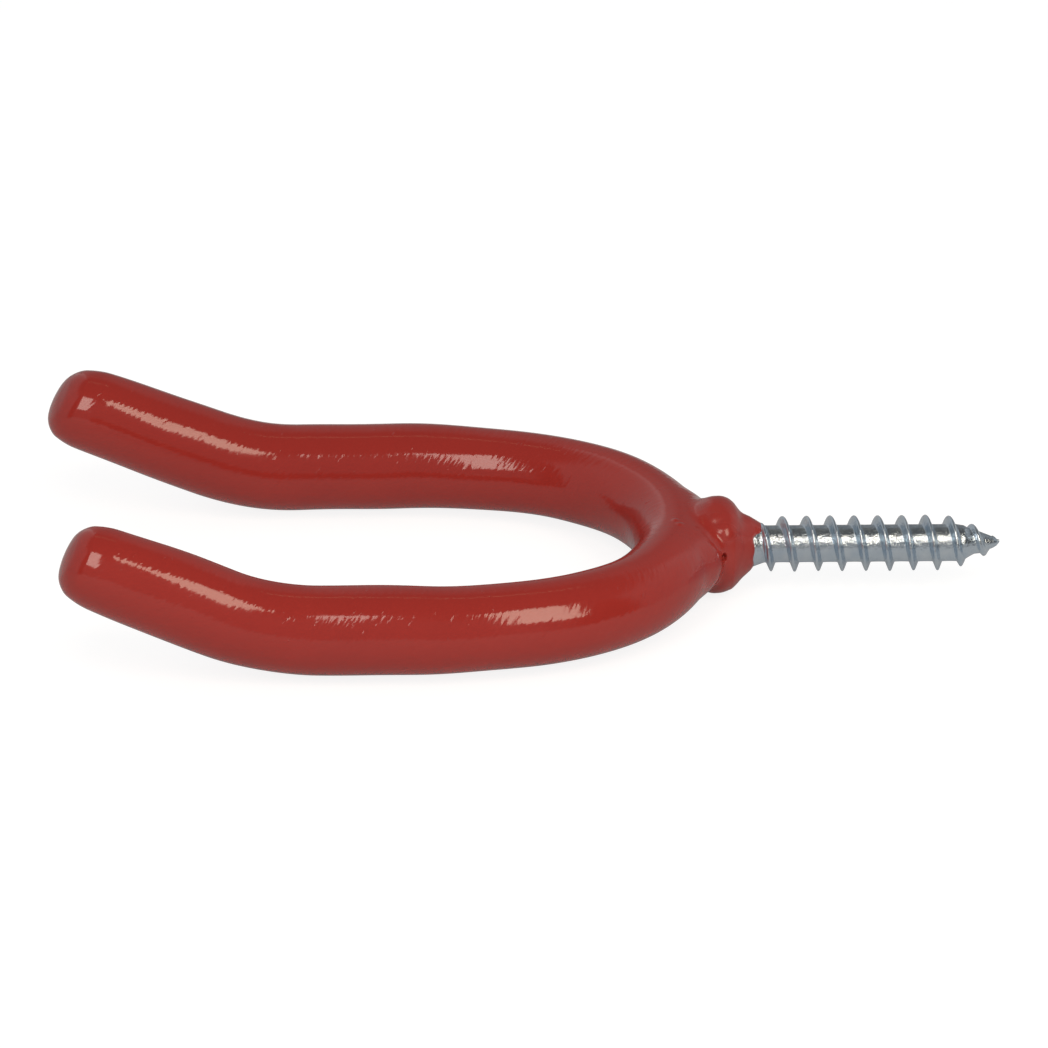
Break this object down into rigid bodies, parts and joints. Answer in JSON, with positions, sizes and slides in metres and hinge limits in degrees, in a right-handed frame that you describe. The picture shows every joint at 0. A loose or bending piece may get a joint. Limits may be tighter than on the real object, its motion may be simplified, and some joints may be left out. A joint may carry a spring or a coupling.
{
  "type": "double storage hook",
  "caption": "U-shaped double prong hook with turned-up tips on a wood screw; a plastic-coated steel bar that holds tools, ladders or hoses on a wall.",
  "frame": {"origin": "on the screw's axis in the plane of the wall, where the coat ends", "axes": "+Y along the screw into the wall, +Z the way the tips turn up, +X across the two prongs"},
  "size_m": [0.0692, 0.1342, 0.0225],
  "materials": {
    "bare_steel": "drawn, hidden under the coat",
    "zinc_plated_steel": "bright zinc plate on a rolled thread",
    "weld_steel": "as welded, hidden under the coat",
    "red_pvc": "glossy dip coat"
  },
  "bodies": {
    "root": {"steel_bar": "bare_steel", "wood_screw": "zinc_plated_steel", "weld_collar": "weld_steel", "plastic_coating": "red_pvc"}
  },
  "joints": []
}
